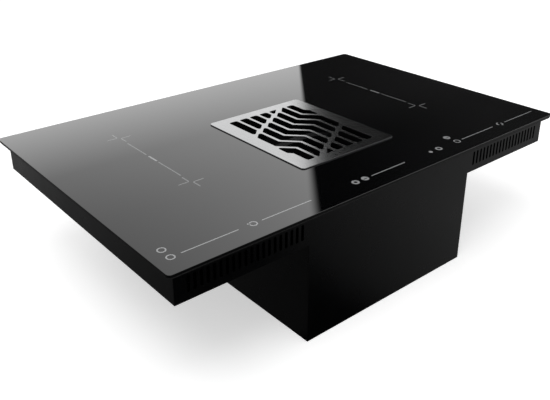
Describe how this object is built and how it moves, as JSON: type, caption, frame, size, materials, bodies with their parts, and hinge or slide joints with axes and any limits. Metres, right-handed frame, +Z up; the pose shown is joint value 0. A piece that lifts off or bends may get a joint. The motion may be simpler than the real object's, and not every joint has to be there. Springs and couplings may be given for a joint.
{
  "type": "downdraft induction cooktop",
  "caption": "Black glass induction cooktop with a wavy-slotted steel intake grille in its middle, over a shallow vented housing and a deep box with the extractor and a flat duct outlet.",
  "frame": {"origin": "middle of the resting underside, straight below the middle of the glass", "axes": "+X to the right along the glass's long side, +Y towards the back where the duct leaves, +Z up; the user stands at -Y"},
  "size_m": [0.8, 0.52, 0.2147],
  "materials": {
    "black_glass": "polished black glass-ceramic",
    "stainless_steel": "brushed along its length",
    "dark_sheet": "satin dark grey coating",
    "zinc_sheet": "zinc-coated sheet",
    "dark_steel": "dark pleated metal fleece",
    "steel": "machined steel",
    "aluminium": "mill finish",
    "copper": "enamelled copper wire",
    "ferrite": "matt sintered ferrite",
    "mica": "mica sheet",
    "circuit_board": "green solder mask",
    "black_plastic": "moulded, fine texture",
    "grey_plastic": "moulded, fine texture",
    "foam": "closed-cell foam strip",
    "rubber": "soft rubber"
  },
  "bodies": {
    "hob": {"base_cover": "zinc_sheet", "blower_cover": "black_plastic", "blower_scroll": "black_plastic", "cable_gland": "black_plastic", "choke_left": "copper", "choke_right": "copper", "coil_ferrites_left_front": "ferrite", "coil_ferrites_left_rear": "ferrite", "coil_ferrites_right_front": "ferrite", "coil_ferrites_right_rear": "ferrite", "coil_former_left_front": "grey_plastic", "coil_former_left_rear": "grey_plastic", "coil_former_right_front": "grey_plastic", "coil_former_right_rear": "grey_plastic", "coil_plate_left": "aluminium", "coil_plate_right": "aluminium", "coil_sensor_left_front": "black_plastic", "coil_sensor_left_rear": "black_plastic", "coil_sensor_right_front": "black_plastic", "coil_sensor_right_rear": "black_plastic", "coil_winding_left_front": "copper", "coil_winding_left_rear": "copper", "coil_winding_right_front": "copper", "coil_winding_right_rear": "copper", "control_board": "circuit_board", "control_box": "grey_plastic", "cooling_fan_frame_left": "black_plastic", "cooling_fan_frame_right": "black_plastic", "fan_casing": "dark_sheet", "front_panel": "dark_sheet", "glass_top": "black_glass", "heat_sink_left": "aluminium", "heat_sink_right": "aluminium", "housing_tray": "dark_sheet", "inlet_seal": "foam", "insulation_left": "mica", "insulation_right": "mica", "intake_well": "black_plastic", "inverter_board_left": "circuit_board", "inverter_board_right": "circuit_board", "isolator_front_left": "rubber", "isolator_front_right": "rubber", "isolator_rear_left": "rubber", "isolator_rear_right": "rubber", "motor_plate": "zinc_sheet", "motor_stator": "aluminium", "outlet_spigot": "black_plastic", "terminal_block": "grey_plastic", "touch_board": "circuit_board", "touch_carrier": "grey_plastic", "well_gasket": "foam", "worktop_seal": "foam"},
    "grille": {"intake_grille": "stainless_steel"},
    "filter": {"filter_frame": "black_plastic", "filter_panel": "dark_steel"},
    "blower_wheel": {"impeller": "grey_plastic", "motor_rotor": "steel", "motor_shaft": "steel"},
    "fan_wheel_left": {"cooling_fan_rotor_left": "grey_plastic"},
    "fan_wheel_right": {"cooling_fan_rotor_right": "grey_plastic"}
  },
  "joints": [
    {"name": "grille_lift", "type": "slide", "parent": "hob", "child": "grille", "axis": [0, 0, 1], "range_m": [0, 0.13]},
    {"name": "filter_lift", "type": "slide", "parent": "hob", "child": "filter", "axis": [0, 0, 1], "range_m": [0, 0.078]},
    {"name": "impeller_spin", "type": "hinge", "parent": "hob", "child": "blower_wheel", "pos_m": [0, -0.03, 0.05], "axis": [0, 0, 1], "continuous": true},
    {"name": "cooling_fan_left_spin", "type": "hinge", "parent": "hob", "child": "fan_wheel_left", "pos_m": [-0.24705, 0.197, 0.1745], "axis": [0, 0, 1], "continuous": true},
    {"name": "cooling_fan_right_spin", "type": "hinge", "parent": "hob", "child": "fan_wheel_right", "pos_m": [0.24705, 0.197, 0.1745], "axis": [0, 0, 1], "continuous": true}
  ],
  "couplings": [
    {"joint": "filter_lift", "follows": "grille_lift", "ratio": 0.6}
  ]
}
